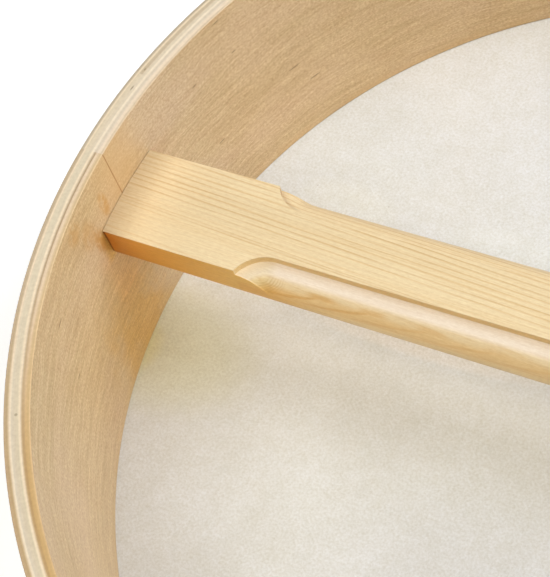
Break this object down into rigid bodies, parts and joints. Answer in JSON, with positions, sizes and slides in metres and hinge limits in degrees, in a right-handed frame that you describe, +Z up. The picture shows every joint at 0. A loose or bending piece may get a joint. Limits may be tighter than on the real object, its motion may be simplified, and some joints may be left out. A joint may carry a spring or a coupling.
{
  "type": "frame drum",
  "caption": "Shallow round drum with its skin below and its open side above, crossed by a routed wooden bar that serves as the handle.",
  "frame": {"origin": "centre of the underside, where the drum lies on its skin", "axes": "+Z up, along the drum's axis, out of the open side; +X along the crossbar"},
  "size_m": [0.4526, 0.4526, 0.1028],
  "materials": {
    "hoop_plywood": "satin lacquer over bent pale plywood, plies showing on the rim",
    "lining_wood": "satin lacquer over a pale bent veneer with fine grain round the hoop",
    "crossbar_pine": "sanded and lacquered pine with fine growth lines along the bar",
    "drum_skin": "matt off-white stretched drum skin, faintly mottled"
  },
  "bodies": {
    "root": {"head_skin": "drum_skin", "hoop": "hoop_plywood", "hoop_lining": "lining_wood", "crossbar": "crossbar_pine"}
  },
  "joints": []
}
